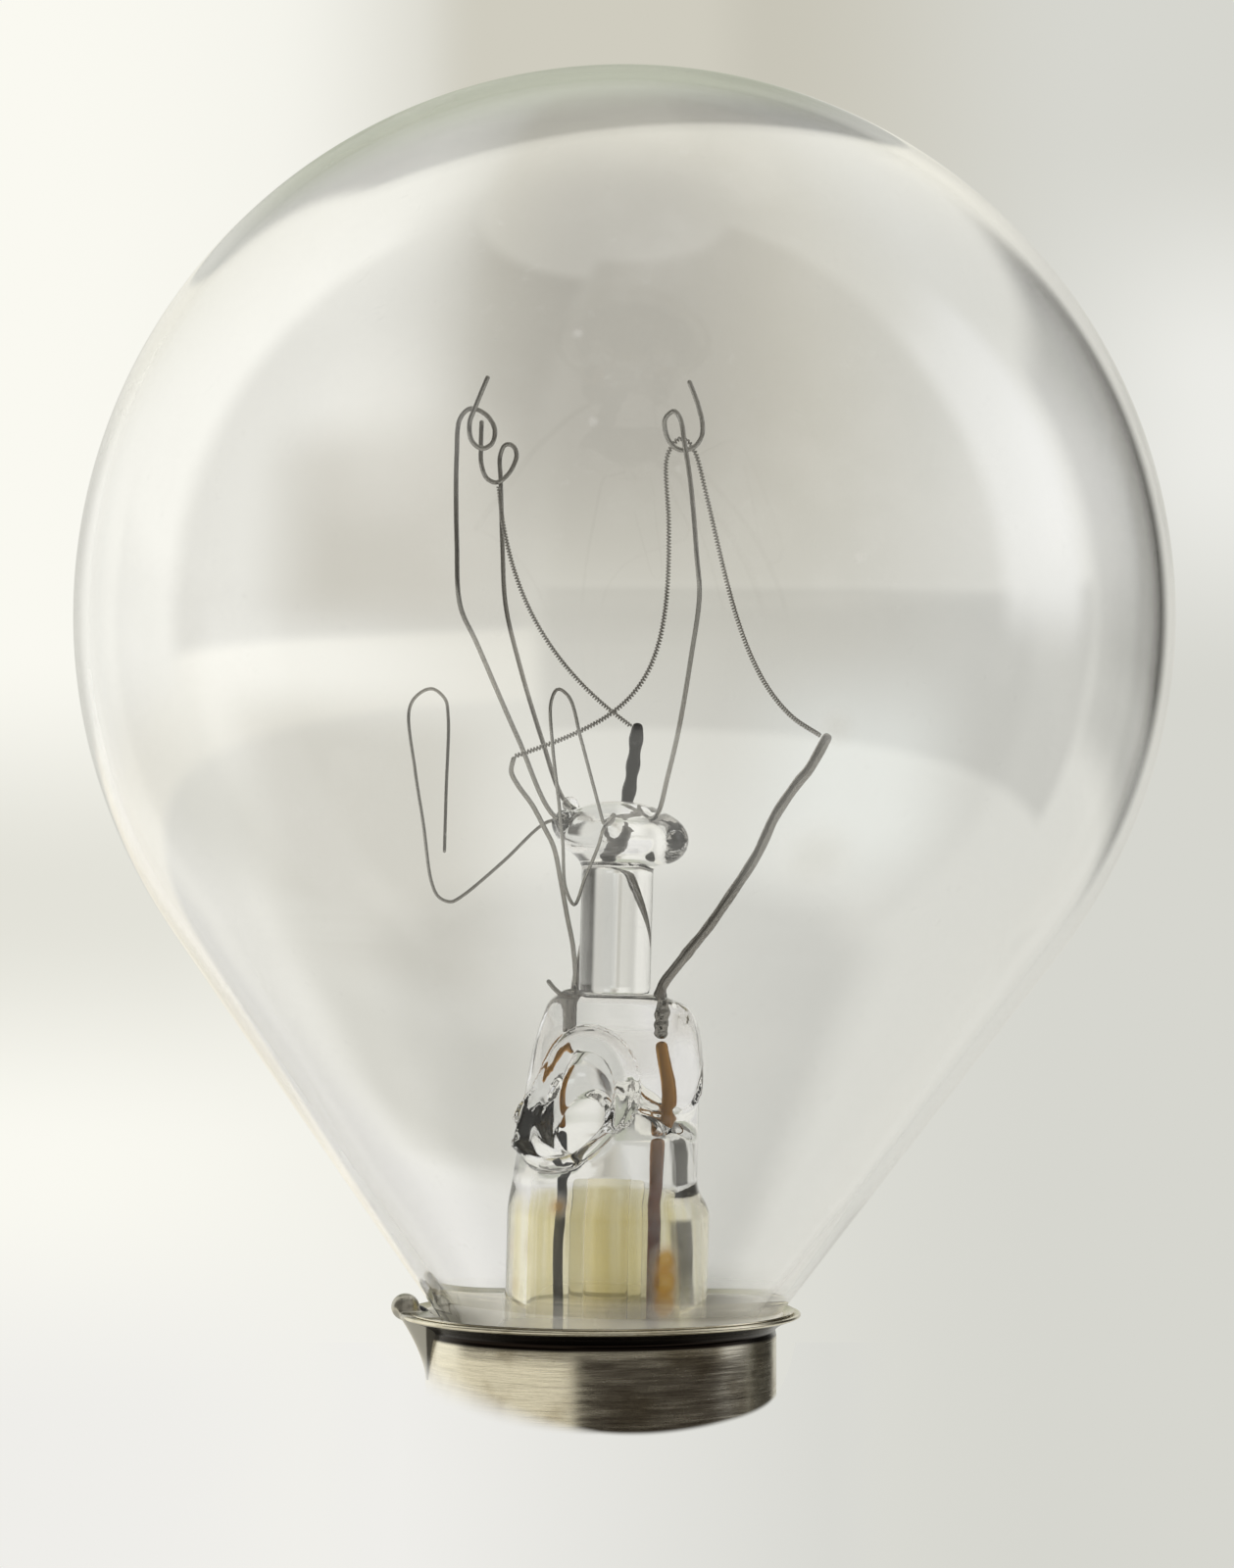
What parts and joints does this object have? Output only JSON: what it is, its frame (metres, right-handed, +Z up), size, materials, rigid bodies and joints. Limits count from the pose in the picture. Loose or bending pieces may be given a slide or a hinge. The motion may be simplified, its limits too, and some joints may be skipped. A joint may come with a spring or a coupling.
{
  "type": "dead light bulb",
  "caption": "Burnt-out clear round light bulb: a thin glass globe leaning in a small screw cap, with a glass stem, lead and support wires and a broken filament inside.",
  "frame": {"origin": "on the cap's axis, on the flat of the solder drop at the foot of the cap", "axes": "+Z up the cap's axis from the end contact to the glass, +X the way the glass leans, -Y the side that the picture shows"},
  "size_m": [0.045, 0.045, 0.0762],
  "materials": {
    "clear_glass": "clear blown glass, dusty, with smudges",
    "stem_glass": "clear lead glass, yellowed towards the cap",
    "rod_glass": "clear glass rod with a melted end",
    "nickel_wire": "dull nickel, darkened at its end",
    "copper_clad_wire": "oxidised copper cladding",
    "molybdenum_wire": "drawn grey wire",
    "tungsten_coil": "recrystallised grey coil",
    "tinned_wire": "dull tinned copper",
    "plated_cap_sheet": "plated sheet, brushed round, tarnished",
    "soft_solder": "dull solder",
    "contact_brass": "worn stamped plate",
    "black_cap_glass": "black moulded glass",
    "cap_cement": "baked cement"
  },
  "bodies": {
    "root": {"glass_envelope": "clear_glass", "stem_flare": "stem_glass", "exhaust_tube": "stem_glass", "arbor_rod": "rod_glass", "right_inner_lead": "nickel_wire", "rear_inner_lead": "nickel_wire", "right_seal_wire": "copper_clad_wire", "left_seal_wire": "copper_clad_wire", "middle_support": "molybdenum_wire", "support_left_front": "molybdenum_wire", "support_left_rear": "molybdenum_wire", "support_right": "molybdenum_wire", "hairpin_left": "molybdenum_wire", "hairpin_front": "molybdenum_wire", "filament_right": "tungsten_coil", "filament_left": "tungsten_coil", "right_outer_lead": "copper_clad_wire", "left_outer_lead": "tinned_wire", "cap_shell": "plated_cap_sheet", "cap_insulator": "black_cap_glass", "cap_contact": "contact_brass", "contact_solder": "soft_solder", "side_solder": "soft_solder", "cap_cement": "cap_cement"}
  },
  "joints": []
}
